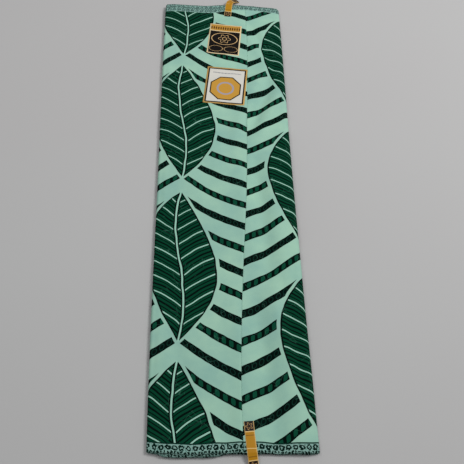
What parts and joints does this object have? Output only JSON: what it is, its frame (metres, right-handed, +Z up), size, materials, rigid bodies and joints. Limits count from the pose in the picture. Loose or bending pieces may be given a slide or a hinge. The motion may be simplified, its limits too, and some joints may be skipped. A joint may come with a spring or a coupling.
{
  "type": "folded wax print cloth",
  "caption": "Length of printed cotton cloth wound flat into a long narrow bundle, selvedges at both ends, with plain paper labels and sealing tapes.",
  "frame": {"origin": "under the middle of the bundle, on the surface that it lies on", "axes": "+Z up, +Y along the bundle from its near end to its far end, +X across it towards the fold on the right"},
  "size_m": [0.3072, 1.2524, 0.0201],
  "materials": {
    "printed_cotton": "plain weave cotton with a crisp waxy hand, printed in mint and dark green",
    "folded_cotton": "the same cotton, seen at its folded edges",
    "dark_label_paper": "glossy paper",
    "pale_label_paper": "glossy paper",
    "gold_tape_paper": "gold paper"
  },
  "bodies": {
    "root": {"under_leaf": "printed_cotton", "hidden_layers": "folded_cotton", "right_leaf": "printed_cotton", "top_leaf": "printed_cotton", "far_label": "dark_label_paper", "near_label": "pale_label_paper", "far_tape": "gold_tape_paper", "near_tape": "gold_tape_paper"}
  },
  "joints": []
}
